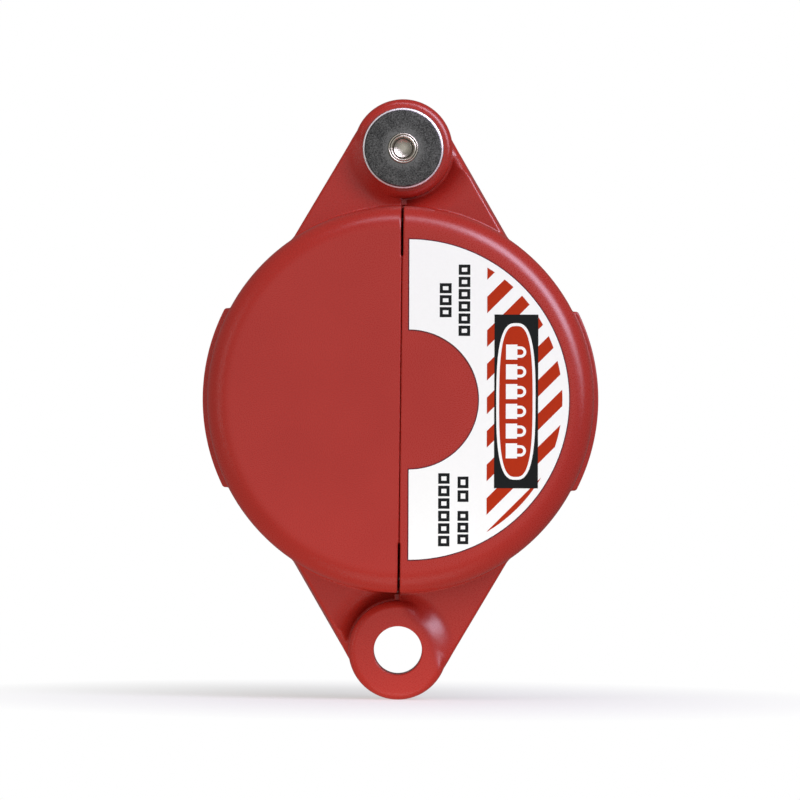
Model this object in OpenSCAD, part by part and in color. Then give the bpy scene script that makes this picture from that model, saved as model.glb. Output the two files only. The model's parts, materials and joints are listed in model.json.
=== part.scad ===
// Two-part rotating cover that locks a round valve handwheel out of reach.
// Two identical half covers turn about a riveted pivot at the top and
// close round the handwheel; a padlock goes through both bottom ears.
//
// Frame, in millimetres: the origin is the centre of the round cover, on the
// valve's stem axis and midway between its faces. +Z is up, towards the pivot,
// -Y is the labelled front and +Y the back, where the valve's stem leaves.

/* [Cover] */
// Outside radius of the round cover
cover_r = 43; // [38:0.5:50]
// Depth from the front face to the back face
cover_depth = 44; // [36:1:60]
// Wall thickness of the mouldings
wall = 2.5; // [2:0.1:3.5]
// Radius of the rounded outer edges
edge_r = 5.5; // [4:0.5:7]
// How much the round wall narrows from its middle to each face
wall_draft = 0.35; // [0.1:0.05:0.6]
// Gap between the two halves along the seam
seam_gap = 0.5; // [0.3:0.1:1]
// Radius of the hole for the valve's stem, in the back face
stem_hole_r = 15.5; // [10:0.5:20]
// Height of the grip pads above the round wall
pad_height = 0.85; // [0.5:0.05:1.5]
// Angle that each grip pad covers
pad_angle = 55; // [30:1:70]
// Width of the grip pads along the stem axis
pad_width = 18; // [10:1:24]

/* [Ears] */
// Distance from the cover's centre to the pivot, and to the padlock hole
ear_reach = 55.75; // [55:0.25:60]
// Radius of the round end of the ear that lies in front
front_boss_r = 11; // [10:0.1:11.4]
// Radius of the round end of the ear that lies behind
back_boss_r = 10.6; // [9.5:0.1:11]
// Thickness of each ear
ear_t = 5; // [4:0.5:6]
// Angle between the front ear's outer edge and the centre line
front_ear_angle = 30.2; // [28:0.1:34]
// Angle between the back ear's outer edge and the centre line
back_ear_angle = 30.4; // [28:0.1:34]
// How much an ear's outer edge slants inwards over its thickness
ear_slant = 0.8; // [0.4:0.1:1.6]
// Radius of the hole in each ear
ear_hole_r = 5.35; // [4.5:0.05:6]
// Radius on the outer edge of each round end
boss_edge_r = 1.8; // [1:0.1:3.4]

/* [Pivot] */
// Radius of the two flat washers
washer_r = 9; // [7.5:0.5:10]
// Thickness of the washers
washer_t = 1.6; // [1:0.1:2]
// Radius of the rivet's shank
shank_r = 2.75; // [2.4:0.05:3]
// Radius of the rivet's factory head, at the back
rivet_head_r = 5.5; // [4.5:0.1:6.5]

/* [Label] */
// Outer radius of the label
label_r = 35.2; // [30:0.1:36]
// Thickness of the label
label_t = 0.2; // [0.1:0.05:0.3]

/* [Hidden] */
$fn = 96;

overlap = 0.02;                       // how far joined solids run into each other
half_depth = cover_depth / 2;
inner_r = cover_r - wall;
inner_half = half_depth - wall;
half_gap = seam_gap / 2;
face_gap = 0.05;                      // axial play of each ear at the pivot
bush_play = 0.05;                     // radial play of the bush in the ears
washer_play = 0.15;                   // radial play of the washers on the shank
bush_half = ear_t + face_gap;
washer_top = bush_half + washer_t;

lap_reach = 2.6;                      // how far a tongue reaches past the seam
lap_t = 1.4;                          // thickness of a tongue
lap_play = 0.12;                      // play between a tongue and the plate over it
lap_start = 4.1;                      // end of a tongue nearest the centre
lap_end = 31.4;                       // end of a tongue nearest the rim
back_lap_start = stem_hole_r + 2.5;
lap_foot_t = 0.9;                     // the front tongue's foot, under its inner end
lap_foot_gap = 0.1;                   // from the foot to the middle of the seam
lug_back = 2;                         // the seam lug, to the left of the seam
lug_reach = 0.9;                      // and to the right of it
lug_under = 1.4;
lug_t = 0.7;
lug_gap = 0.1;                        // from the lug to the round wall
seam_step = 0.6;                      // sideways step of the seam, behind the ears
seam_step_back = 3;                   // how far behind the middle the step is

swing_gap = 0.45;                     // from an ear's round end to the other half's web
ramp_foot = 1.6;                      // the ramp starts this far outside a round end
ramp_top = 1.4;                       // and meets its rounded edge this far inside
ramp_h = 1.9;                         // height of the ramp above the web
relief_foot = 2.9;                    // foot of the slope that clears the other round end
web_half = ear_t / 2;

roll_r = 0.57;                        // radius of the rivet's rolled lip
roll_centre = shank_r + 0.08;
rivet_bore_r = 2.2;
rivet_bore_depth = 2;
rivet_head_h = 1.8;
rivet_head_edge = 0.5;
label_edge = 1.85;                    // from the seam to the label's straight edge
label_hole_r = 15.4;

red = [0.67, 0.17, 0.15];
white = [0.95, 0.95, 0.94];
zinc = [0.42, 0.43, 0.43];
nickel = [0.78, 0.75, 0.69];

// Turns a solid drawn face up (X right, Y up, Z to the front) into the frame.
module upright() {
    rotate([90, 0, 0]) children();
}

// Half cross-section of a round box: rounded edges, and a wall that narrows
// from its middle to each face.
module pillbox_profile(r, half, round_r) {
    face_r = r - wall_draft;
    corner = half - round_r;
    translate([0, -half]) square([face_r - round_r, 2 * half]);
    polygon([[0, -corner], [face_r, -corner], [r, 0], [face_r, corner], [0, corner]]);
    for (side = [-1, 1])
        translate([face_r - round_r, side * corner]) circle(round_r);
}

// Everything on the left of the seam, out to the distance "far". Behind the
// ears the seam steps sideways, to the left above the stem hole and to the
// right below it, so that there is no straight way through it.
module left_side(far) {
    for (side = [-1, 1]) {
        low = (side - 1) / 2 * far;
        step_at = -seam_step_back - (side < 0 ? seam_gap : 0);
        translate([-far - half_gap, low, step_at]) cube([far, far, far]);
        translate([-far - half_gap - side * seam_step, low, -far]) cube([far, far, far + step_at]);
    }
}

// The hollow half of the round cover, with its grip pad.
module half_cover() {
    intersection() {
        difference() {
            union() {
                rotate_extrude() pillbox_profile(cover_r, half_depth, edge_r);
                grip_pad();
            }
            rotate_extrude() pillbox_profile(inner_r, inner_half, edge_r - wall);
            translate([0, 0, -half_depth - 1]) cylinder(r = stem_hole_r, h = wall + 2);
        }
        left_side(100);
    }
}

// A raised pad on the round wall, its ends cut level.
module grip_pad() {
    pad_reach = cover_r * sin(pad_angle / 2);
    intersection() {
        cylinder(r = cover_r + pad_height, h = pad_width, center = true);
        translate([-cover_r - 5, -pad_reach, -pad_width])
            cube([cover_r, 2 * pad_reach, 2 * pad_width]);
    }
}

// The outline of the web between an ear's round end and the cover.
module web_outline(round_r, angle) {
    tangent = [-round_r * cos(angle), ear_reach + round_r * sin(angle)];
    root_y = 30;
    root_x = tangent[0] - (tangent[1] - root_y) * tan(angle);
    polygon([[-half_gap, root_y], [-half_gap, ear_reach], tangent, [root_x, root_y]]);
}

// Everything beyond a web's outer edge, which slants inwards to the back.
module beyond_slant(round_r, angle) {
    size = 100;
    translate([0, ear_reach, web_half]) rotate([0, 0, -angle])
        translate([-round_r, 0, 0]) rotate([0, -atan(ear_slant / ear_t), 0])
            translate([-size, -size, -size]) cube([size, 2 * size, 2 * size]);
}

// The web, level with the middle of the round wall. It is cut back where the
// other half's round end swings past behind it.
module web(round_r, angle) {
    clear_r = front_boss_r + swing_gap;
    difference() {
        linear_extrude(height = ear_t, center = true) web_outline(round_r, angle);
        beyond_slant(round_r, angle);
        translate([0, ear_reach, -2 * ear_t]) cylinder(r = clear_r, h = 2 * ear_t + face_gap);
        translate([0, ear_reach, -web_half - overlap])
            cylinder(r1 = front_boss_r + relief_foot, r2 = clear_r, h = web_half + face_gap);
    }
}

// The ramp that raises the web to the face of the round end.
module ramp(round_r, angle) {
    intersection() {
        translate([0, ear_reach, face_gap])
            cylinder(r = round_r + ramp_foot, h = web_half - face_gap);
        linear_extrude(height = 2 * ear_t) web_outline(round_r, angle);
    }
    intersection() {
        translate([0, ear_reach, web_half])
            cylinder(r1 = round_r + ramp_foot, r2 = round_r - ramp_top, h = ramp_h);
        linear_extrude(height = 2 * ear_t) web_outline(round_r, angle);
    }
}

// The round end, its outer edge rounded.
module round_end(round_r) {
    corner = [round_r - boss_edge_r, ear_t - boss_edge_r];
    translate([0, ear_reach, 0]) rotate_extrude() {
        translate([0, face_gap]) square([corner[0], ear_t - face_gap]);
        translate([0, face_gap]) square([round_r, corner[1] - face_gap]);
        translate(corner) intersection() {
            circle(boss_edge_r);
            square(boss_edge_r);
        }
    }
}

// An ear at the top of the left half, in front of the mid-plane.
module ear(round_r, angle) {
    web(round_r, angle);
    ramp(round_r, angle);
    round_end(round_r);
}

// The left half's ears: the front ear at the top, the back ear at the bottom.
// They join the round wall and stay clear of the hollow inside.
module ears() {
    difference() {
        union() {
            ear(front_boss_r, front_ear_angle);
            rotate([180, 0, 0]) ear(back_boss_r, back_ear_angle);
        }
        rotate_extrude() pillbox_profile(inner_r + 1, inner_half, edge_r - wall);
        for (side = [-1, 1])
            translate([0, side * ear_reach, -2 * ear_t])
                cylinder(r = ear_hole_r, h = 4 * ear_t);
    }
}

// A tongue behind a plate, which laps under the other half's plate.
module lap_tongue(start, end) {
    under = inner_half - lap_play - lap_t;
    translate([-half_gap - 3, start, under]) cube([3 + half_gap + lap_reach, end - start, lap_t]);
    translate([-half_gap - 3, start, under])
        cube([3, end - start, lap_t + lap_play + overlap]);
}

// Lower step of the front tongue, which runs on to the middle of the seam.
module lap_foot() {
    top = inner_half - lap_play - lap_t + overlap;
    translate([-half_gap - 3, lap_foot_gap, top - lap_foot_t])
        cube([3 + half_gap + lap_reach, lap_start + 2, lap_foot_t]);
}

// Lug at the foot of the front round end, which closes the seam between the
// two webs and hangs clear of the other half's relief.
module seam_lug() {
    translate([-lug_back, cover_r + lug_gap, lug_under])
        cube([lug_back + lug_reach, ear_reach - front_boss_r - cover_r + 1, lug_t]);
}

// One moulding: the left half in the face-up frame.
module half_moulding() {
    half_cover();
    ears();
    lap_tongue(lap_start, lap_end);
    lap_foot();
    seam_lug();
    rotate([180, 0, 0]) lap_tongue(back_lap_start, lap_end);
}

module left_shell() {
    color(red) upright() half_moulding();
}

// The right half is the same moulding, turned half a turn about the stem.
module right_shell() {
    color(red) upright() rotate([0, 0, 180]) half_moulding();
}

module at_pivot() {
    upright() translate([0, ear_reach, 0]) children();
}

// Steel sleeve that carries the rivet's load and leaves the ears free.
module pivot_bush() {
    color(zinc) at_pivot() difference() {
        cylinder(r = ear_hole_r - bush_play, h = 2 * bush_half, center = true);
        cylinder(r = shank_r + 0.1, h = 3 * bush_half, center = true);
    }
}

module flat_washer() {
    difference() {
        cylinder(r = washer_r, h = washer_t);
        translate([0, 0, -1]) cylinder(r = shank_r + washer_play, h = washer_t + 2);
    }
}

module front_washer() {
    color(zinc) at_pivot() translate([0, 0, bush_half]) flat_washer();
}

module rear_washer() {
    color(zinc) at_pivot() translate([0, 0, -washer_top]) flat_washer();
}

// Semi-tubular rivet: rolled lip at the front, oval factory head at the back.
module pivot_rivet() {
    color(nickel) at_pivot() difference() {
        union() {
            translate([0, 0, -washer_top]) cylinder(r = shank_r, h = 2 * washer_top);
            rivet_lip();
            rivet_head();
        }
        rivet_bore();
    }
}

module rivet_lip() {
    rotate_extrude() intersection() {
        translate([roll_centre, washer_top]) circle(roll_r);
        translate([0, washer_top]) square([2 * shank_r, 2 * roll_r]);
    }
    translate([0, 0, washer_top - overlap]) cylinder(r = roll_centre, h = overlap + roll_r / 2);
}

module rivet_head() {
    cap_h = rivet_head_h - rivet_head_edge;
    ball_r = (rivet_head_r * rivet_head_r + cap_h * cap_h) / (2 * cap_h);
    translate([0, 0, -washer_top - rivet_head_edge])
        cylinder(r = rivet_head_r, h = rivet_head_edge);
    intersection() {
        translate([0, 0, -washer_top - rivet_head_h + ball_r]) sphere(ball_r);
        translate([0, 0, -washer_top - rivet_head_h])
            cylinder(r = rivet_head_r, h = rivet_head_h);
    }
}

// Blind bore with a drill-point bottom, open at the rolled lip.
module rivet_bore() {
    floor_z = washer_top - rivet_bore_depth;
    translate([0, 0, floor_z]) cylinder(r = rivet_bore_r, h = rivet_bore_depth + 2 * roll_r);
    translate([0, 0, floor_z - rivet_bore_r * 0.6])
        cylinder(r1 = 0.01, r2 = rivet_bore_r, h = rivet_bore_r * 0.6);
}

// Half-ring label on the front face of the right half.
module warning_label() {
    color(white) upright() translate([label_edge, 0, half_depth])
        linear_extrude(height = label_t) difference() {
            intersection() {
                circle(label_r);
                translate([0, -label_r]) square([label_r, 2 * label_r]);
            }
            circle(label_hole_r);
        }
}

left_shell();
right_shell();
pivot_bush();
pivot_rivet();
front_washer();
rear_washer();
warning_label();
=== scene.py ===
"""Looks for a round two-part lockout cover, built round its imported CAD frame.

The two halves are one moulding. Its surface is meshed from a distance field,
so that the webs, round ends and edges blend as a moulded part's do, and the
second half is the first one turned half a turn about the stem axis. Lengths
inside the field are millimetres in a face-up frame (x right, u up, f out of
the front face); everything else is in metres in the CAD frame.
"""
import json
import math

import bpy
import numpy as np
from mathutils import Matrix, Vector


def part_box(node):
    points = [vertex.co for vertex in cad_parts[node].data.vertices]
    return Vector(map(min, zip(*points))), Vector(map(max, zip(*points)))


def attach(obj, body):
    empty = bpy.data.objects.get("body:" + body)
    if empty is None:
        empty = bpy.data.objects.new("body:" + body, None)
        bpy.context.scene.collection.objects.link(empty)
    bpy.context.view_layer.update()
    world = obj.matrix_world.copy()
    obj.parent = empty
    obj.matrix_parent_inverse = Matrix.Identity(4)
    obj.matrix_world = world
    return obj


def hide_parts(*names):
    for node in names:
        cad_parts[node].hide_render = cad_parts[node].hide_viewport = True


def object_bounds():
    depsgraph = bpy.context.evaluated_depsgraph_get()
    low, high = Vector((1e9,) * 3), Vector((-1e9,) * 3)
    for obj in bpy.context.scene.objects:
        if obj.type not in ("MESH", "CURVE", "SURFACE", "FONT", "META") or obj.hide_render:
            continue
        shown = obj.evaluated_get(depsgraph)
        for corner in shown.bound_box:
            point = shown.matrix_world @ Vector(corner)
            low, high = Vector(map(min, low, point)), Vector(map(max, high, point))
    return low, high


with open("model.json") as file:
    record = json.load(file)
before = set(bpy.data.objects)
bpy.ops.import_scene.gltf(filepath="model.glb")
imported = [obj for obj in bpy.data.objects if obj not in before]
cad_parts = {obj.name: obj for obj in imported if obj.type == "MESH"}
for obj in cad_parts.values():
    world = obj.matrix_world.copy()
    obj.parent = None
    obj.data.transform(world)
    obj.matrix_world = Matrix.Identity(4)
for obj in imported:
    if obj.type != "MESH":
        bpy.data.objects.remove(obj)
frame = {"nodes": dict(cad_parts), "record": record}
CAD_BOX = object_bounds()
MM = 0.001
MOUNTS = {m["name"]: m for m in frame["record"]["mounts"]}

# ---------------------------------------------------------------- dimensions
# Read from the frame, in millimetres.
SHELL_LOW, SHELL_HIGH = (np.array(v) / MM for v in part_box("left_shell"))
WASHER_LOW, WASHER_HIGH = (np.array(v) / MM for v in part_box("front_washer"))
RIVET_LOW, RIVET_HIGH = (np.array(v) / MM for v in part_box("pivot_rivet"))
LABEL_LOW, LABEL_HIGH = (np.array(v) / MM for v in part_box("warning_label"))

REACH = (WASHER_LOW[2] + WASHER_HIGH[2]) / 2      # cover centre to pivot
PAD_R = -SHELL_LOW[0]
HALF_DEPTH = SHELL_HIGH[1]
FRONT_END_R = SHELL_HIGH[2] - REACH               # round end of the front ear
BACK_END_R = -SHELL_LOW[2] - REACH                # and of the back ear
EAR_T = MOUNTS["padlock_hole"]["dims"]["length_mm"] / 2
EAR_HOLE_R = MOUNTS["padlock_hole"]["dims"]["r_mm"]
STEM_HOLE_R = MOUNTS["stem_hole"]["dims"]["r_mm"]
WALL = MOUNTS["stem_hole"]["dims"]["length_mm"]
WASHER_R = (WASHER_HIGH[0] - WASHER_LOW[0]) / 2
WASHER_T = WASHER_HIGH[1] - WASHER_LOW[1]
LABEL_R = (LABEL_HIGH[2] - LABEL_LOW[2]) / 2
LABEL_EDGE = LABEL_LOW[0]

# The moulding's own details.
PAD_H = 0.85                     # the grip pads stand out this much
COVER_R = PAD_R - PAD_H
EDGE_R = 5.5                     # rounded outer edges of the cover
DRAFT = 0.35                     # the wall narrows this much towards each face
PAD_HALF_W = 9.0
PAD_HALF_ANGLE = math.radians(27.5)
HALF_GAP = 0.25                  # half the gap between the halves at the seam
HALF_SLIT = 0.06                 # and where a tongue laps behind it
FACE_GAP = 0.05                  # from the ears' joint face to the middle of the depth
FRONT_EAR_ANGLE = math.radians(30.2)
BACK_EAR_ANGLE = math.radians(30.4)
EAR_SLANT = 0.7                  # an ear's outer edge slants inwards this much
END_EDGE_R = 1.8                 # rounded edge of each round end
WEB_HALF = EAR_T / 2             # a web's half thickness
WEB_START = 30                   # it starts this far above the cover's centre
WEB_EDGE_R, WEB_BACK_R = 0.9, 0.7
WEB_FILLET = 0.5                 # in the corner between a web and the wall
SWING_GAP = 0.45                 # the cut-back for the other half's round end:
RELIEF_FOOT = 3.6                # its play at the joint face and at its foot,
RELIEF_EDGE_R = 2.0              # and its rounded edge
LAP_REACH, LAP_T, LAP_PLAY = 2.6, 1.4, 0.12
LAP_START, LAP_END = 4.1, 31.4   # the front tongue, measured along the seam
BACK_LAP_START = STEM_HOLE_R + 2.5
LAP_FOOT_T = 0.9
LUG_REACH, LUG_UNDER, LUG_T = 0.9, 0.95, 0.75
SEAM_STEP, SEAM_STEP_BACK = 0.6, 3.0
RAMP_OUT, RAMP_IN = 2.2, 4.8     # the ramp starts outside a round end and ends inside it
RAMP_STEEP = 1.13                # the steepest part's length over its run
RAMP_SPREAD = 5.0                # distance in which the ramp fades in from the ear's tip
SHARP = 0.35                     # edge break along the seam
FIELD_LOW, FIELD_HIGH = (-45.2, -67.5, -23), (12.2, 67.8, 23)    # box round the left half
CELL = 0.3
FACES = 180000

# Metal parts.
FRONT_SEAT = -WASHER_HIGH[1]                      # washer's face on the ear
WASHER_FACE = FRONT_SEAT + WASHER_T
WASHER_HOLE_R = 2.9
RIVET_LIP_R = 3.4
RIVET_SHANK_R = 2.75
RIVET_HEAD_R = (RIVET_HIGH[0] - RIVET_LOW[0]) / 2
RIVET_HEAD_BACK = -RIVET_HIGH[1]
TURNS = 128

# The label's print, from the middle of its straight edge.
LABEL_T = LABEL_HIGH[1] - LABEL_LOW[1]
LABEL_TILT = math.radians(-0.4)
INK_T = 0.02
SHADOW_LINE_W = 0.2                      # the painted shadow line round the label's edge is this wide
LABEL_HOLE_R = 15.4
STRIPE_RIM_R = 33.73
STRIPE_LEFT = 17.13
STRIPE_PITCH, STRIPE_W = 7.38, 3.65
STRIPE_START = -1.86
PANEL = (18.75, -19.43, 28.38, 18.74)             # left, low, right, high
LOZENGE = (23.5, -0.35, 4.31, 17.21)              # centre, half width, half height
LINE_W = 0.64
SIGNS, SIGN_LEFT, SIGN_PITCH = 6, -2.2, 4.34      # from the lozenge's centre
SIGN_W, SIGN_H = 3.3, 4.45
MARK_W = 0.68

# Colours.
RED, RED_DEEP = (0.403, 0.024, 0.015, 1), (0.382, 0.021, 0.013, 1)
RED_PALE = (0.46, 0.07, 0.06, 1)
ZINC_DARK, ZINC_LIGHT = (0.065, 0.066, 0.066, 1), (0.34, 0.34, 0.335, 1)
# Near-white of the painted highlight round the washer's outer rim.
ZINC_RIM_GLINT = (0.95, 0.90, 0.89, 1)
NICKEL, NICKEL_DEEP = (0.98, 0.92, 0.80, 1), (0.86, 0.80, 0.67, 1)
# Dark of the painted shade in the rivet's grooves and round its lip.
NICKEL_PAINTED_SHADE = (0.10, 0.08, 0.07, 1)
STEEL, STEEL_DEEP = (0.60, 0.60, 0.60, 1), (0.42, 0.42, 0.42, 1)
INK_WHITE, INK_WHITE_DEEP = (0.95, 0.96, 0.88, 1), (0.93, 0.94, 0.86, 1)
INK_RED, INK_RED_DEEP = (0.45, 0.026, 0.001, 1), (0.42, 0.023, 0.001, 1)
INK_BLACK, INK_BLACK_DEEP = (0.008, 0.009, 0.009, 1), (0.006, 0.007, 0.007, 1)
# Dark of the painted shadow line round the label's edge.
LABEL_SHADOW_LINE = (0.075, 0.010, 0.026, 1)
PAPER, PAPER_DEEP = (0.96, 0.96, 0.96, 1), (0.93, 0.93, 0.93, 1)

# The studio.
VIEW_DISTANCE = 1.6
VIEW_WIDTH = 0.17824                              # width of the picture at the cover
VIEW_SHIFT = (-0.00011, -0.00013)
VIEW_ROLL = math.radians(-0.6)
TENT = 0.275                                      # the surroundings, as a light
MIRROR_FRONT, MIRROR_BACK = 0.42, 0.14            # and as reflections see them
KEY_DIRECTION, KEY_POWER, KEY_COLOUR = (0.60, -0.55, 0.58), 2.3, (1, 0.94, 1.22)
WING_DIRECTION, WING_POWER, WING_COLOUR = (0.50, -0.55, 0.66), 2.8, (1, 0.94, 1.15)
FRONT_DIRECTION, FRONT_POWER = (0.1, -0.95, 0.1), 0.4
LOW_DIRECTION, LOW_POWER = (0, -0.4, -0.8), 0.075
FILL_DIRECTION, FILL_POWER = (-0.8, -0.45, 0.1), 2.6
PLAIN = (1, 1, 1)


# ------------------------------------------------------------ distance field
def join(a, b, r):
    """Union of two distances with a fillet of radius r in the corner."""
    inside = np.hypot(np.maximum(r - a, 0), np.maximum(r - b, 0))
    return np.maximum(r, np.minimum(a, b)) - inside


def meet(a, b, r):
    """Intersection of two distances with its edge rounded to radius r."""
    outside = np.hypot(np.maximum(r + a, 0), np.maximum(r + b, 0))
    return np.minimum(-r, np.maximum(a, b)) + outside


def cut(a, b, r):
    """a without b, its edge rounded to radius r."""
    return meet(a, -b, r)


def pillbox(x, u, f, r, half, edge):
    """A round box with rounded edges, its wall narrowing to each face."""
    depth = np.abs(f)
    radius = r - DRAFT * np.minimum(depth / (half - edge), 1)
    across = np.hypot(x, u) - (radius - edge)
    along = depth - (half - edge)
    corner = np.hypot(np.maximum(across, 0), np.maximum(along, 0))
    return corner + np.minimum(np.maximum(across, along), 0) - edge


def block(x, u, f, low, high, soft):
    """An axis-aligned box from its lowest to its highest corner, with its
    edges rounded to radius soft."""
    q = [np.abs(c - (a + b) / 2) - (b - a) / 2 + soft for c, a, b in zip((x, u, f), low, high)]
    outside = np.sqrt(sum(np.maximum(c, 0) ** 2 for c in q))
    return outside + np.minimum(np.maximum(np.maximum(q[0], q[1]), q[2]), 0) - soft


def grip_pad(x, u, f):
    """The raised pad on the round wall, its ends cut level."""
    reach = COVER_R * math.sin(PAD_HALF_ANGLE)
    skin = np.hypot(x, u) - PAD_R
    sides = meet(np.abs(f) - PAD_HALF_W, np.abs(u) - reach, 0.5)
    pad = meet(skin, sides, 0.4)
    return np.maximum(pad, x + COVER_R / 2)


def ease(t):
    """Smooth step from 0 to 1."""
    t = np.clip(t, 0, 1)
    return t * t * (3 - 2 * t)


def ramp(x, u, f, end_r, angle):
    """The S-shaped slope from a web up to its round end, and how much of it
    there is: none at the ear's tip, all of it towards the cover."""
    from_pivot = np.hypot(x, u - REACH)
    along = math.sin(angle) * x + math.cos(angle) * (u - REACH)
    rise = (EAR_T - WEB_HALF) * ease((end_r + RAMP_OUT - from_pivot) / (RAMP_OUT + RAMP_IN))
    return (f - WEB_HALF - rise) / RAMP_STEEP, ease(-along / RAMP_SPREAD)


def web(x, u, f, end_r, angle):
    """An ear's web. It is level with the middle of the wall, rises to the
    ear's round end, has a slanted outer edge, and is cut back where the other
    half's round end swings past behind it."""
    from_pivot = np.hypot(x, u - REACH)
    along = math.sin(angle) * x + math.cos(angle) * (u - REACH)
    slope_up, share = ramp(x, u, f, end_r, angle)
    end = meet(from_pivot - end_r, f - EAR_T, END_EDGE_R)
    crisp = join(f - WEB_HALF, end, 0.05)
    top = crisp + (slope_up - crisp) * share

    beyond = -math.cos(angle) * x + math.sin(angle) * (u - REACH) - end_r
    slant = EAR_SLANT / EAR_T
    side = (beyond + slant * np.maximum(WEB_HALF - f, 0)) / math.hypot(1, slant)
    plate = meet(meet(side, top, WEB_EDGE_R), -f - WEB_HALF, WEB_BACK_R)
    plate = np.maximum(np.maximum(plate, along), WEB_START - u)

    slope = (RELIEF_FOOT - SWING_GAP) / (WEB_HALF + FACE_GAP)
    cone_r = FRONT_END_R + SWING_GAP + slope * np.maximum(FACE_GAP - f, 0)
    relief = (from_pivot - cone_r) / math.hypot(1, slope)
    return cut(plate, meet(relief, f - FACE_GAP, 0.1), RELIEF_EDGE_R)


def round_end(x, u, f, end_r, angle):
    """The round end of an ear, with a generous radius on its outer edge."""
    end = meet(np.hypot(x, u - REACH) - end_r, f - EAR_T, END_EDGE_R)
    slope_up, share = ramp(x, u, f, end_r, angle)
    end = end + (np.maximum(end, slope_up) - end) * share * ease(-x / RAMP_SPREAD)
    return meet(end, FACE_GAP - f, 0.2)


def tongue(x, u, f, start, end):
    """A tongue behind a plate, lapping under the other half's plate."""
    top = HALF_DEPTH - WALL - LAP_PLAY
    left, under, soft = -HALF_GAP - 3, top - LAP_T, 0.25
    lap = block(x, u, f, (left, start, under), (LAP_REACH, end, top), soft)
    root = block(x, u, f, (left, start, under), (-HALF_GAP - 0.1, end, top + 1), soft)
    return np.minimum(lap, root)


def foot(x, u, f):
    """Lower step of the front tongue, which runs on to the middle."""
    top = HALF_DEPTH - WALL - LAP_PLAY - LAP_T
    low, high = (-HALF_GAP - 3, 0.002, top - LAP_FOOT_T), (LAP_REACH, LAP_START + 2, top + 0.1)
    return block(x, u, f, low, high, 0.2)


def left_of_seam(x, u, f):
    """The left side of the seam, which closes up over the tongues and steps
    sideways behind the ears."""
    over = ease((LAP_END + 0.4 - np.abs(u)) / 0.4) * ease((f - HALF_DEPTH + EDGE_R) / 0.5)
    face = x + HALF_GAP - (HALF_GAP - HALF_SLIT) * over
    above = np.minimum(x + HALF_GAP + SEAM_STEP, np.maximum(face, -SEAM_STEP_BACK - f))
    right_step = np.maximum(x + HALF_GAP - SEAM_STEP, f + SEAM_STEP_BACK + 2 * HALF_GAP)
    below = np.minimum(face, right_step)
    return np.where(u > 0, above, below)


def moulding(p):
    """Signed distance to the left half, for points p of shape (n, 3)."""
    x, u, f = p[:, 0], p[:, 1], p[:, 2]
    body = pillbox(x, u, f, COVER_R, HALF_DEPTH, EDGE_R)
    body = join(body, grip_pad(x, u, f), 0.3)
    body = join(body, web(x, u, f, FRONT_END_R, FRONT_EAR_ANGLE), WEB_FILLET)
    body = join(body, web(x, -u, -f, BACK_END_R, BACK_EAR_ANGLE), WEB_FILLET)
    body = meet(body, left_of_seam(x, u, f), SHARP)
    body = np.minimum(body, round_end(x, u, f, FRONT_END_R, FRONT_EAR_ANGLE))
    body = np.minimum(body, round_end(x, -u, -f, BACK_END_R, BACK_EAR_ANGLE))

    body = cut(body, pillbox(x, u, f, COVER_R - WALL, HALF_DEPTH - WALL, EDGE_R - WALL), 0.25)
    body = cut(body, np.maximum(np.hypot(x, u) - STEM_HOLE_R, f), 0.5)
    for centre in (REACH, -REACH):
        body = cut(body, np.hypot(x, u - centre) - EAR_HOLE_R, 0.3)
    body = np.minimum(body, tongue(x, u, f, LAP_START, LAP_END))
    body = np.minimum(body, foot(x, u, f))
    lug_top = (LUG_REACH, REACH - FRONT_END_R + 1, LUG_UNDER + LUG_T)
    body = np.minimum(body, block(x, u, f, (-2, COVER_R + 0.15, LUG_UNDER), lug_top, 0.15))
    plug_low, plug_high = (-2, COVER_R - 1, -1.4), (0.24, COVER_R + 1.5, LUG_UNDER + 0.5)
    body = np.minimum(body, block(x, u, f, plug_low, plug_high, 0.02))
    return np.minimum(body, tongue(x, -u, -f, BACK_LAP_START, LAP_END))


# ------------------------------------------------------- meshing a distance
def slopes(field, p, h=0.01):
    """Gradient of the field at points p, by central differences."""
    g = np.empty_like(p)
    for k in range(3):
        step = np.zeros(3)
        step[k] = h
        g[:, k] = (field(p + step) - field(p - step)) / (2 * h)
    return g


def settle(field, p, rounds):
    """Points p moved onto the field's zero surface."""
    for _ in range(rounds):
        g = slopes(field, p)
        size = np.maximum((g * g).sum(1), 0.2)
        move = (field(p) / size)[:, None] * g
        p = p - np.clip(move, -0.3, 0.3)
    return p


def sample_near_surface(field, low, cell, blocks, block_n=4):
    """Field values on a fine lattice, worked out only in the blocks that the
    surface can reach, and the mask of the cells in those blocks."""
    side = block_n * cell
    centre = [low[k] + side * (np.arange(blocks[k]) + 0.5) for k in range(3)]
    grid = np.stack(np.meshgrid(*centre, indexing="ij"), -1).reshape(-1, 3)
    near = np.abs(field(grid)) < side * 1.15
    near = near.reshape(blocks)
    cells = near.repeat(block_n, 0).repeat(block_n, 1).repeat(block_n, 2)
    known = np.zeros([n + 1 for n in cells.shape], bool)
    for i in (0, 1):
        for j in (0, 1):
            for k in (0, 1):
                known[i:i + cells.shape[0], j:j + cells.shape[1], k:k + cells.shape[2]] |= cells
    where = np.argwhere(known)
    values = np.full(known.shape, 9.0)
    for start in range(0, len(where), 400000):
        part = where[start:start + 400000]
        values[tuple(part.T)] = field(low + part * cell)
    return values, cells


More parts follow.
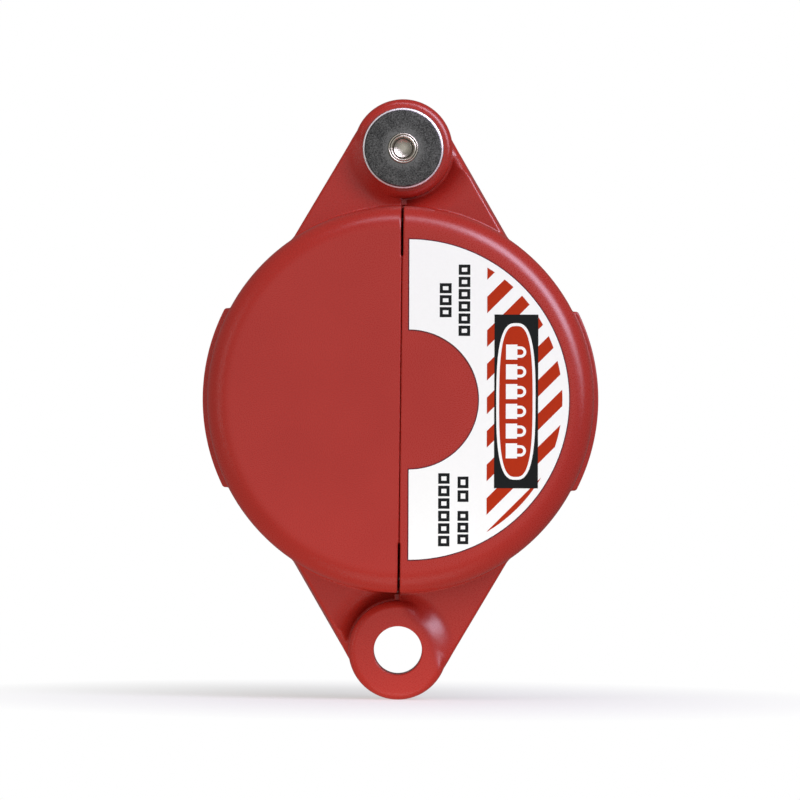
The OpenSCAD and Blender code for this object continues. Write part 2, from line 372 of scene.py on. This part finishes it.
def surface_net(field, low, high, cell):
    """Vertices and quads of the field's zero surface: one vertex in each cell
    that the surface crosses, and one quad round each lattice edge it crosses."""
    low = np.array(low, float)
    blocks = [int(math.ceil((high[k] - low[k]) / (4 * cell))) for k in range(3)]
    values, cells = sample_near_surface(field, low, cell, blocks)
    inside = values < 0
    corners = [(i, j, k) for i in (0, 1) for j in (0, 1) for k in (0, 1)]
    shape = cells.shape

    def corner(array, c):
        return array[c[0]:c[0] + shape[0], c[1]:c[1] + shape[1], c[2]:c[2] + shape[2]]

    count = sum(corner(inside, c).astype(np.int8) for c in corners)
    crossed = cells & (count > 0) & (count < 8)
    cell_at = np.argwhere(crossed)
    total = np.zeros((len(cell_at), 3))
    hits = np.zeros(len(cell_at))
    for a in corners:
        for axis in range(3):
            if a[axis]:
                continue
            b = tuple(1 if k == axis else a[k] for k in range(3))
            va = values[tuple((cell_at + a).T)]
            vb = values[tuple((cell_at + b).T)]
            cross = (va < 0) != (vb < 0)
            share = va / np.where(cross, va - vb, 1)
            point = cell_at + np.array(a, float)
            point[:, axis] += share
            total[cross] += point[cross]
            hits += cross
    vertices = low + cell * total / hits[:, None]

    number = np.full(shape, -1, np.int64)
    number[crossed] = np.arange(len(cell_at))
    quads = []
    for axis in range(3):
        others = [k for k in range(3) if k != axis]
        before = inside.take(range(inside.shape[axis] - 1), axis)
        after = inside.take(range(1, inside.shape[axis]), axis)
        edges = np.argwhere(before != after)
        ok = np.all([(edges[:, k] > 0) & (edges[:, k] < shape[k]) for k in others], axis=0)
        edges = edges[ok]
        ring = []
        for da, db in ((0, 0), (1, 0), (1, 1), (0, 1)):
            at = edges.copy()
            at[:, others[0]] -= da
            at[:, others[1]] -= db
            ring.append(number[tuple(at.T)])
        ring = np.stack(ring, 1)
        leaving = inside[tuple(edges.T)]
        turn = leaving if axis != 1 else ~leaving
        ring[~turn] = ring[~turn][:, ::-1]
        quads.append(ring[(ring >= 0).all(1)])
    return vertices, np.concatenate(quads)


def relax(field, p, quads, rounds):
    """Vertices spread evenly over the surface."""
    corner = quads.ravel()
    share = np.bincount(corner, minlength=len(p))
    for _ in range(rounds):
        middle = np.repeat(p[quads].mean(1), 4, axis=0)
        mean = np.stack([np.bincount(corner, middle[:, k], len(p)) for k in range(3)], 1)
        p = settle(field, p + 0.6 * (mean / share[:, None] - p), 1)
    return p


def to_frame(p):
    """Face-up millimetres to the CAD frame's metres."""
    return np.stack([p[:, 0], -p[:, 2], p[:, 1]], 1) * MM


def from_frame(p):
    """The CAD frame's metres to face-up millimetres."""
    return np.stack([p[:, 0], p[:, 2], -p[:, 1]], 1) / MM


def mesh_from_field(name, field, low, high, cell, keep):
    """A mesh of the field's surface, thinned where it is flat, with the
    field's own directions as its shading normals."""
    points, quads = surface_net(field, low, high, cell)
    points = relax(field, settle(field, points, 2), quads, 4)
    dense = bpy.data.meshes.new(name + "_dense")
    dense.from_pydata(to_frame(points), [], quads)
    holder = bpy.data.objects.new(name + "_dense", dense)
    bpy.context.scene.collection.objects.link(holder)
    thin = holder.modifiers.new("thin", "DECIMATE")
    thin.ratio = min(1.0, keep / (2 * len(quads)))
    depsgraph = bpy.context.evaluated_depsgraph_get()
    mesh = bpy.data.meshes.new_from_object(holder.evaluated_get(depsgraph))
    bpy.data.objects.remove(holder)
    bpy.data.meshes.remove(dense)
    mesh.name = name
    shade_from_field(mesh, field)
    return mesh


def shade_from_field(mesh, field):
    """The mesh settled on the field and smoothly shaded by its directions."""
    count = len(mesh.vertices)
    flat = np.empty(count * 3)
    mesh.vertices.foreach_get("co", flat)
    points = settle(field, from_frame(flat.reshape(-1, 3)), 2)
    mesh.vertices.foreach_set("co", to_frame(points).ravel())
    normals = to_frame(slopes(field, points, 0.05))
    normals /= np.maximum(np.linalg.norm(normals, axis=1), 1e-9)[:, None]
    mesh.polygons.foreach_set("use_smooth", np.ones(len(mesh.polygons), bool))
    mesh.normals_split_custom_set_from_vertices(normals)
    mesh.update()


def half_shell(name, mesh, body, node, turned):
    """One half of the cover: the mesh as it is, or turned about the stem axis."""
    shell = bpy.data.objects.new(name, mesh)
    bpy.context.scene.collection.objects.link(shell)
    if turned:
        shell.matrix_world = Matrix.Rotation(math.pi, 4, "Y")
    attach(shell, body)
    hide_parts(node)


# ----------------------------------------------------------------- materials
class Finish:
    """A node material under construction, with short calls for its nodes."""

    def __init__(self, name, roughness, metallic=0.0, specular=0.5):
        self.material = bpy.data.materials.new(name)
        self.material.use_nodes = True
        self.tree = self.material.node_tree
        self.shader = self.tree.nodes["Principled BSDF"]
        self.shader.inputs["Roughness"].default_value = roughness
        self.shader.inputs["Metallic"].default_value = metallic
        self.shader.inputs["Specular IOR Level"].default_value = specular
        self.place = self.tree.nodes.new("ShaderNodeTexCoord").outputs["Object"]

    def link(self, source, node, socket):
        self.tree.links.new(source, node.inputs[socket])

    def noise(self, size_mm, detail=2.0, rough=0.5, place=None):
        node = self.tree.nodes.new("ShaderNodeTexNoise")
        node.inputs["Scale"].default_value = 1 / (size_mm * MM)
        node.inputs["Detail"].default_value = detail
        node.inputs["Roughness"].default_value = rough
        self.link(place or self.place, node, "Vector")
        return node.outputs["Fac"]

    def spread(self, value, low, high, to_low, to_high):
        """value carried from low..high to to_low..to_high, and held there."""
        node = self.tree.nodes.new("ShaderNodeMapRange")
        limits = {"From Min": low, "From Max": high, "To Min": to_low, "To Max": to_high}
        for socket, number in limits.items():
            node.inputs[socket].default_value = number
        self.link(value, node, "Value")
        return node.outputs["Result"]

    def math(self, operation, a, b):
        node = self.tree.nodes.new("ShaderNodeMath")
        node.operation = operation
        for socket, term in enumerate((a, b)):
            if isinstance(term, (int, float)):
                node.inputs[socket].default_value = term
            else:
                self.link(term, node, socket)
        return node.outputs[0]

    def mix(self, share, a, b):
        node = self.tree.nodes.new("ShaderNodeMix")
        node.data_type = "RGBA"
        self.link(share, node, "Factor")
        for socket, colour in ((6, a), (7, b)):
            if isinstance(colour, (list, tuple)):
                node.inputs[socket].default_value = colour
            else:
                self.link(colour, node, socket)
        return node.outputs[2]

    def from_pivot(self):
        """Distance from the pivot's axis, in millimetres."""
        shift = self.tree.nodes.new("ShaderNodeVectorMath")
        shift.operation = "SUBTRACT"
        self.link(self.place, shift, 0)
        shift.inputs[1].default_value = (0, 0, REACH * MM)
        flat = self.tree.nodes.new("ShaderNodeVectorMath")
        flat.operation = "MULTIPLY"
        self.link(shift.outputs[0], flat, 0)
        flat.inputs[1].default_value = (1 / MM, 0, 1 / MM)
        length = self.tree.nodes.new("ShaderNodeVectorMath")
        length.operation = "LENGTH"
        self.link(flat.outputs[0], length, 0)
        return length.outputs["Value"]

    def colour(self, value):
        self.link(value, self.shader, "Base Color")

    def roughness(self, value):
        self.link(value, self.shader, "Roughness")

    def bump(self, height, depth_mm, strength=1.0):
        node = self.tree.nodes.new("ShaderNodeBump")
        node.inputs["Distance"].default_value = depth_mm * MM
        node.inputs["Strength"].default_value = strength
        self.link(height, node, "Height")
        self.link(node.outputs["Normal"], self.shader, "Normal")


def red_plastic():
    """Moulded polypropylene: satin, fine spark-eroded grain, faint flow marks
    and a few pale scuffs."""
    finish = Finish("shell_red_plastic", 0.27, specular=0.7)
    flow = finish.noise(14, detail=3)
    grain = finish.noise(0.22, detail=3, rough=0.6)
    tint = finish.spread(flow, 0.3, 0.7, 0, 1)
    base = finish.mix(tint, RED_DEEP, RED)
    speck = finish.spread(finish.noise(1.1, detail=6, rough=0.7), 0.66, 0.74, 0, 0.25)
    finish.colour(finish.mix(speck, base, RED_PALE))
    finish.roughness(finish.spread(grain, 0.25, 0.75, 0.24, 0.32))
    finish.bump(grain, 0.012)
    return finish.material


def washer_steel():
    """Dark zinc on stamped steel: mottled, with a painted sheen round the rivet
    where its pressed face dishes, and a painted highlight round its outer rim."""
    finish = Finish("washer_dark_zinc", 0.3, metallic=1)
    crystals = finish.noise(0.28, detail=4, rough=0.75)
    cloud = finish.noise(2.4, detail=3)
    distance = finish.from_pivot()
    # Painted sheen: lighter round the rivet, where the dished face would catch more light.
    painted_sheen = finish.spread(distance, RIVET_LIP_R, RIVET_LIP_R + 2.0, 0.65, 0)
    shade = finish.math("ADD", finish.spread(crystals, 0.36, 0.64, -0.15, 0.85), painted_sheen)
    shade = finish.math("ADD", shade, finish.spread(cloud, 0.3, 0.7, -0.15, 0.15))
    face = finish.mix(shade, ZINC_DARK, ZINC_LIGHT)
    # Painted highlight: a near-white band round the outer rim, less metallic on its face so it
    # lights up all round; the very side stays metallic.
    rim_glint = finish.spread(distance, WASHER_R - 0.5, WASHER_R - 0.3, 0, 1)
    finish.colour(finish.mix(rim_glint, face, ZINC_RIM_GLINT))
    bare_side = finish.spread(distance, WASHER_R - 0.15, WASHER_R - 0.07, 0, 1)
    matt = finish.math("SUBTRACT", rim_glint, bare_side)
    finish.link(finish.spread(matt, 0, 1, 1, 0.35), finish.shader, "Metallic")
    finish.roughness(finish.spread(crystals, 0.3, 0.7, 0.24, 0.38))
    finish.bump(crystals, 0.01)
    return finish.material


def rivet_nickel():
    """Warm nickel plate with fine turning rings, and painted shade in the grooves
    of the rolled end and round the edge of its lip."""
    finish = Finish("rivet_nickel_plate", 0.22, metallic=1)
    split = finish.tree.nodes.new("ShaderNodeSeparateXYZ")
    finish.link(finish.place, split, 0)
    front = finish.spread(split.outputs["Y"], -0.001, 0, 1, 0)
    rings = finish.tree.nodes.new("ShaderNodeTexNoise")
    rings.noise_dimensions = "1D"
    rings.inputs["Scale"].default_value = 9
    rings.inputs["Detail"].default_value = 3
    distance = finish.from_pivot()
    finish.link(distance, rings, "W")
    cloud = finish.noise(0.9, detail=3)
    plate = finish.mix(finish.spread(cloud, 0.3, 0.7, 0, 1), NICKEL_DEEP, NICKEL)
    # Painted shade, on the front only: dark rings in the drilled end's groove, in the crease
    # between the lip's two rolls, and a painted contact shadow round the lip's edge.
    for middle, half_width in ((2.22, 0.16), (2.92, 0.08), (RIVET_LIP_R, 0.1)):
        away = finish.math("ABSOLUTE", finish.math("SUBTRACT", distance, middle), 0)
        painted_shade = finish.spread(away, half_width * 0.6, half_width * 1.4, 0.9, 0)
        plate = finish.mix(finish.math("MULTIPLY", painted_shade, front), plate, NICKEL_PAINTED_SHADE)
    finish.colour(plate)
    finish.roughness(finish.spread(rings.outputs["Fac"], 0.3, 0.7, 0.16, 0.3))
    finish.bump(rings.outputs["Fac"], 0.02)
    return finish.material


def bush_steel():
    """Turned bright steel with fine machining marks along its length."""
    finish = Finish("bush_turned_steel", 0.3, metallic=1)
    marks = finish.noise(0.15, detail=4, rough=0.7)
    finish.colour(finish.mix(marks, STEEL_DEEP, STEEL))
    finish.roughness(finish.spread(marks, 0.3, 0.7, 0.22, 0.38))
    finish.bump(marks, 0.006)
    return finish.material


def film_ink(name, colour, deep):
    """Printed vinyl film, with the slight mottle of solid ink."""
    finish = Finish(name, 0.34, specular=0.28)
    mottle = finish.noise(0.5, detail=4, rough=0.65)
    finish.colour(finish.mix(finish.spread(mottle, 0.3, 0.7, 0, 1), colour, deep))
    finish.roughness(finish.spread(mottle, 0.3, 0.7, 0.3, 0.4))
    finish.bump(finish.noise(0.35, detail=2), 0.004)
    return finish.material


# --------------------------------------------------------------- metal parts
def arc(radius, height, r, start, end, steps):
    """Profile points round a rounded corner, angles in degrees from outwards."""
    turn = [math.radians(start + (end - start) * k / steps) for k in range(steps + 1)]
    return [(radius + r * math.cos(a), height + r * math.sin(a)) for a in turn]


def lathe(name, profile, closed, body, nodes, material):
    """A turned part on the pivot's axis. The profile runs from the front to
    the back as (radius, height towards the front) in millimetres."""
    points, rings = [], []
    for radius, height in profile:
        if radius < 1e-6:
            rings.append([len(points)] * TURNS)
            points.append((0, -height, REACH))
            continue
        rings.append(list(range(len(points), len(points) + TURNS)))
        for k in range(TURNS):
            a = 2 * math.pi * k / TURNS
            points.append((radius * math.cos(a), -height, REACH + radius * math.sin(a)))
    if closed:
        rings.append(rings[0])
    faces = []
    for upper, lower in zip(rings, rings[1:]):
        for k in range(TURNS):
            n = (k + 1) % TURNS
            ring = [upper[k], lower[k], lower[n], upper[n]]
            faces.append([v for i, v in enumerate(ring) if v not in ring[:i]])
    mesh = bpy.data.meshes.new(name)
    mesh.from_pydata([tuple(c * MM for c in p) for p in points], [], faces)
    mesh.polygons.foreach_set("use_smooth", [True] * len(faces))
    mesh.update()
    part = bpy.data.objects.new(name, mesh)
    bpy.context.scene.collection.objects.link(part)
    part.data.materials.append(material)
    edges = part.modifiers.new("edges", "EDGE_SPLIT")
    edges.split_angle = math.radians(50)
    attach(part, body)
    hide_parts(*nodes)


def washer(name, node, inner_face, outwards, material):
    """A stamped washer: bevelled and rolled-over outer edge, crisp inner edge.
    A ring of points near the hole keeps the shading of its face flat."""
    roll, burr, hole = 0.35, 0.15, WASHER_HOLE_R
    outer = inner_face + WASHER_T
    profile = [(hole, inner_face + burr), (hole, outer - burr), (hole + burr, outer)]
    profile += [(hole + 0.2, outer), (WASHER_R - 0.72, outer), (WASHER_R - 0.66, outer - 0.01)]
    profile += arc(WASHER_R - roll, outer - 0.2 - roll, roll, 62, 0, 6)
    profile += arc(WASHER_R - burr, inner_face + burr, burr, 0, -90, 3)
    profile += [(hole + burr, inner_face)]
    profile = [(r, outwards * h) for r, h in profile]
    lathe(name, profile, True, "pivot_pin", [node], material)


def rivet(name, material):
    """A rivet with a rolled lip round a shallow drilled end in front and a
    low domed head behind."""
    lip = WASHER_FACE
    # A drilled end, a groove round it, and the two rolls of the lip.
    front = [(0, lip - 1.6), (2.0, lip - 0.55), (2.12, lip - 1.0), (2.38, lip - 1.0)]
    front += arc(2.66, lip + 0.28, 0.26, 180, 20, 8)
    front += arc(3.12, lip + 0.24, 0.28, 150, -60, 9)
    front += [(RIVET_SHANK_R + 0.3, lip), (RIVET_SHANK_R, lip)]
    back = -lip
    dome_h = back - RIVET_HEAD_BACK
    head = [(RIVET_SHANK_R, back), (RIVET_HEAD_R - 0.1, back)]
    head += arc(RIVET_HEAD_R - 0.25, back - 0.25, 0.25, 0, -40, 3)
    steps = 10
    for k in range(steps + 1):
        share = 1 - k / steps
        radius = (RIVET_HEAD_R - 0.35) * share
        head.append((radius, back - 0.45 - (dome_h - 0.45) * (1 - share * share)))
    lathe(name, front + head, False, "pivot_pin", ["pivot_rivet"], material)


# --------------------------------------------------------------------- label
def rectangle(left, low, right, high):
    """Corners of an upright rectangle."""
    return [(left, low), (right, low), (right, high), (left, high)]


def ring_points(cx, cy, r, start, end, steps):
    """Points along an arc, angles in degrees."""
    turn = [math.radians(start + (end - start) * k / steps) for k in range(steps + 1)]
    return [(cx + r * math.cos(a), cy + r * math.sin(a)) for a in turn]


def half_ring(outer, inner):
    """Outline of the label: half a ring with its straight edge on x = 0."""
    return ring_points(0, 0, outer, -90, 90, 96) + ring_points(0, 0, inner, 90, -90, 64)


def clip(outline, keep):
    """A convex outline cut by the half-plane where keep(point) >= 0, keep
    being linear."""
    kept = []
    for a, b in zip(outline, outline[1:] + outline[:1]):
        da, db = keep(a), keep(b)
        if da >= 0:
            kept.append(a)
        if (da >= 0) != (db >= 0):
            t = da / (da - db)
            kept.append((a[0] + t * (b[0] - a[0]), a[1] + t * (b[1] - a[1])))
    return kept


def stripes():
    """Diagonal stripes between the panel's left side and the label's rim."""
    region = ring_points(0, 0, STRIPE_RIM_R, -90, 90, 90)
    outlines = []
    for k in range(-9, 3):
        top = STRIPE_START + STRIPE_PITCH * k
        band = clip(region, lambda p: top - (p[1] - p[0]))
        band = clip(band, lambda p: (p[1] - p[0]) - (top - STRIPE_W)) if band else []
        band = clip(band, lambda p: p[0] - STRIPE_LEFT) if band else []
        if len(band) > 2:
            outlines.append(band)
    return outlines


def lozenge(cx, cy, half_w, half_h, power=2.85):
    """A long rounded shape between an ellipse and a rectangle."""
    points = []
    for k in range(96):
        a = 2 * math.pi * k / 96
        c, s = math.cos(a), math.sin(a)
        points.append((cx + half_w * math.copysign(abs(c) ** (2 / power), c),
                       cy + half_h * math.copysign(abs(s) ** (2 / power), s)))
    return points


def padlock_sign(x, y, w, h):
    """Plain padlock pictogram lying on its side, its shackle to the right:
    its outline, and the opening in the shackle."""
    start, bow = x + 0.56 * h, 0.38 * w
    turn = start + 0.44 * h - bow
    outline = [(x, y - w / 2), (start, y - w / 2), (start, y - bow)]
    outline += ring_points(turn, y, bow, -90, 90, 16)
    outline += [(start, y + bow), (start, y + w / 2), (x, y + w / 2)]
    inner = 0.5 * bow
    opening = [(start, y - inner)] + ring_points(turn, y, inner, -90, 90, 16)
    return [outline, opening + [(start, y + inner)]]


def marks(left, right, top, bottom, count):
    """A column of plain open boxes that stands where a word would."""
    pitch = (top - bottom) / count
    outlines = []
    for k in range(count):
        high, low = top - pitch * (k + 0.08), top - pitch * (k + 0.92)
        outlines.append(rectangle(left, low, right, high))
        outlines.append(rectangle(left + MARK_W, low + MARK_W, right - MARK_W, high - MARK_W))
    return outlines


def film(name, outlines, layer, thickness, material):
    """Flat shapes on the label, extruded; outlines are in millimetres from
    the middle of the label's straight edge."""
    curve = bpy.data.curves.new(name, "CURVE")
    curve.dimensions = "2D"
    curve.fill_mode = "BOTH"
    curve.extrude = thickness / 2 * MM
    for outline in outlines:
        spline = curve.splines.new("POLY")
        spline.points.add(len(outline) - 1)
        spline.use_cyclic_u = True
        for point, (px, py) in zip(spline.points, outline):
            point.co = (px * MM, py * MM, 0, 1)
    holder = bpy.data.objects.new(name, curve)
    bpy.context.scene.collection.objects.link(holder)
    depsgraph = bpy.context.evaluated_depsgraph_get()
    mesh = bpy.data.meshes.new_from_object(holder.evaluated_get(depsgraph))
    bpy.data.objects.remove(holder)
    front = HALF_DEPTH + layer + thickness / 2
    upright = Matrix.Rotation(math.pi / 2, 4, "X")
    tilt = Matrix.Rotation(LABEL_TILT, 4, "Y")
    shift = Matrix.Translation((LABEL_EDGE * MM, -front * MM, 0))
    mesh.transform(shift @ tilt @ upright)
    part = bpy.data.objects.new(name, mesh)
    bpy.context.scene.collection.objects.link(part)
    part.data.materials.clear()
    part.data.materials.append(material)
    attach(part, "right_half")
    return part


def make_label():
    """The printed film on the right half, one thin layer of ink on another."""
    white = film_ink("label_white_film", INK_WHITE, INK_WHITE_DEEP)
    red = film_ink("label_red_ink", INK_RED, INK_RED_DEEP)
    black = film_ink("label_black_ink", INK_BLACK, INK_BLACK_DEEP)
    # Dark film for the painted shadow line round the label's edge.
    rim = film_ink("label_edge_shadow", LABEL_SHADOW_LINE, LABEL_SHADOW_LINE)
    sheet = film("label_sheet", [half_ring(LABEL_R, LABEL_HOLE_R)], 0, LABEL_T, white)
    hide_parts("warning_label")
    # A dark film a little larger than the white sheet, laid under it: a painted shadow line round
    # the label's edge.
    edge = half_ring(LABEL_R + SHADOW_LINE_W, LABEL_HOLE_R - SHADOW_LINE_W)
    edge = [(px - (SHADOW_LINE_W if abs(px) < 1e-6 else 0), py) for px, py in edge]
    film("label_edge", [edge], 0, LABEL_T * 0.4, rim)
    film("label_stripes", stripes(), LABEL_T, INK_T, red)
    film("label_panel", [rectangle(*PANEL)], LABEL_T + INK_T, INK_T, black)
    outer = lozenge(*LOZENGE)
    film("label_outline", [outer], LABEL_T + 2 * INK_T, INK_T, white)
    cx, cy, half_w, half_h = LOZENGE
    inner = lozenge(cx, cy, half_w - LINE_W, half_h - LINE_W)
    film("label_lozenge", [inner], LABEL_T + 3 * INK_T, INK_T, red)
    signs = []
    for k in range(SIGNS):
        above = SIGN_PITCH * ((SIGNS - 1) / 2 - k)
        signs += padlock_sign(cx + SIGN_LEFT, cy + above, SIGN_W, SIGN_H)
    film("label_signs", signs, LABEL_T + 4 * INK_T, INK_T, white)
    words = marks(10.85, 13.4, 29.9, 13.8, 6) + marks(6.7, 9.3, 25.8, 17.9, 3)
    words += marks(10.75, 13.15, -16.65, -22.7, 2) + marks(10.75, 13.15, -24.25, -31.95, 3)
    words += marks(6.5, 9.0, -15.95, -32.45, 6)
    film("label_words", words, LABEL_T, INK_T, black)


# --------------------------------------------------------------------- stage
def softbox(name, direction, distance, around, across, power, colour, shines=True):
    """A soft rectangular lamp that points at the cover and stays out of the
    camera's sight. "around" is its length round the line of sight, "across"
    its width towards that line, and "shines" whether reflections show it."""
    data = bpy.data.lights.new(name, "AREA")
    data.shape = "RECTANGLE"
    data.size, data.size_y = around, across
    data.energy = power
    data.color = colour
    lamp = bpy.data.objects.new(name, data)
    bpy.context.scene.collection.objects.link(lamp)
    away = Vector(direction).normalized()
    side = away.cross(Vector((0, -1, 0))).normalized()
    turn = Matrix((side, away.cross(side), away)).transposed()
    lamp.matrix_world = Matrix.Translation(away * distance) @ turn.to_4x4()
    lamp.visible_camera = False
    lamp.visible_glossy = shines


def studio_world():
    """An even tent of light. It is white to the camera, and dim where only a
    reflection sees it, a little brighter in front of the cover."""
    world = bpy.data.worlds.new("studio")
    bpy.context.scene.world = world
    world.use_nodes = True
    world.cycles.sampling_method = "NONE"
    nodes, links = world.node_tree.nodes, world.node_tree.links
    background = nodes["Background"]
    place = nodes.new("ShaderNodeTexCoord")
    split = nodes.new("ShaderNodeSeparateXYZ")
    links.new(place.outputs["Generated"], split.inputs[0])
    fade = nodes.new("ShaderNodeMapRange")
    fade.interpolation_type = "SMOOTHSTEP"
    limits = {"From Min": -0.98, "From Max": -0.75, "To Min": MIRROR_FRONT, "To Max": MIRROR_BACK}
    for socket, number in limits.items():
        fade.inputs[socket].default_value = number
    links.new(split.outputs["Y"], fade.inputs["Value"])
    rays = nodes.new("ShaderNodeLightPath")
    lit = nodes.new("ShaderNodeMix")
    links.new(rays.outputs["Is Glossy Ray"], lit.inputs["Factor"])
    lit.inputs["A"].default_value = TENT
    links.new(fade.outputs["Result"], lit.inputs["B"])
    seen = nodes.new("ShaderNodeMix")
    links.new(rays.outputs["Is Camera Ray"], seen.inputs["Factor"])
    links.new(lit.outputs["Result"], seen.inputs["A"])
    seen.inputs["B"].default_value = 1
    links.new(seen.outputs["Result"], background.inputs["Strength"])
    background.inputs["Color"].default_value = (1, 1, 1, 1)


def studio_floor():
    """A wide pale floor that fades into the white surroundings."""
    mesh = bpy.data.meshes.new("floor")
    size, low = 6.0, CAD_BOX[0][2]
    corners = [(-size, -size, low), (size, -size, low), (size, size, low), (-size, size, low)]
    mesh.from_pydata(corners, [], [(0, 1, 2, 3)])
    floor = bpy.data.objects.new("floor", mesh)
    bpy.context.scene.collection.objects.link(floor)
    floor.visible_glossy = False
    floor.visible_diffuse = False
    floor.visible_shadow = False
    finish = Finish("floor_paper", 0.6, specular=0.2)
    finish.colour(finish.mix(finish.noise(3, detail=4), PAPER_DEEP, PAPER))
    length = finish.tree.nodes.new("ShaderNodeVectorMath")
    length.operation = "LENGTH"
    finish.link(finish.place, length, 0)
    glow = finish.tree.nodes.new("ShaderNodeEmission")
    blend = finish.tree.nodes.new("ShaderNodeMixShader")
    finish.link(finish.spread(length.outputs["Value"], 0.07, 0.13, 0.5, 1), blend, 0)
    finish.link(finish.shader.outputs[0], blend, 1)
    finish.link(glow.outputs[0], blend, 2)
    finish.link(blend.outputs[0], finish.tree.nodes["Material Output"], "Surface")
    mesh.materials.append(finish.material)


def camera():
    """A long lens straight in front of the cover, rolled a little."""
    data = bpy.data.cameras.new("camera")
    data.sensor_width = 36
    data.lens = data.sensor_width * VIEW_DISTANCE / VIEW_WIDTH
    data.clip_start, data.clip_end = 0.01, 50
    view = bpy.data.objects.new("camera", data)
    bpy.context.scene.collection.objects.link(view)
    view.location = (VIEW_SHIFT[0], -VIEW_DISTANCE, VIEW_SHIFT[1])
    view.rotation_mode = "QUATERNION"
    upright = Vector((0, 1, 0)).to_track_quat("-Z", "Y")
    view.rotation_quaternion = Matrix.Rotation(VIEW_ROLL, 4, "Y").to_quaternion() @ upright
    bpy.context.scene.camera = view


half = mesh_from_field("half_shell", moulding, FIELD_LOW, FIELD_HIGH, CELL, FACES)
half.materials.append(red_plastic())
half_shell("left_cover", half, "left_half", "left_shell", False)
half_shell("right_cover", half, "right_half", "right_shell", True)

zinc = washer_steel()
washer("front_washer_pressed", "front_washer", FRONT_SEAT, 1, zinc)
washer("rear_washer_pressed", "rear_washer", FRONT_SEAT, -1, zinc)
rivet("rivet_turned", rivet_nickel())
bush = frame["nodes"]["pivot_bush"]
bush.data.materials.clear()
bush.data.materials.append(bush_steel())
make_label()

studio_world()
studio_floor()
softbox("key_softbox", KEY_DIRECTION, 0.7, 0.52, 0.32, KEY_POWER, KEY_COLOUR)
softbox("key_wing", WING_DIRECTION, 0.75, 1.5, 0.2, WING_POWER, WING_COLOUR)
softbox("front_fill", FRONT_DIRECTION, 1.0, 0.8, 0.8, FRONT_POWER, PLAIN, False)
softbox("low_fill", LOW_DIRECTION, 0.14, 0.1, 0.06, LOW_POWER, PLAIN, False)
softbox("left_fill", FILL_DIRECTION, 0.8, 0.6, 0.3, FILL_POWER, PLAIN, False)
camera()
scene = bpy.context.scene
scene.view_settings.view_transform = "Standard"
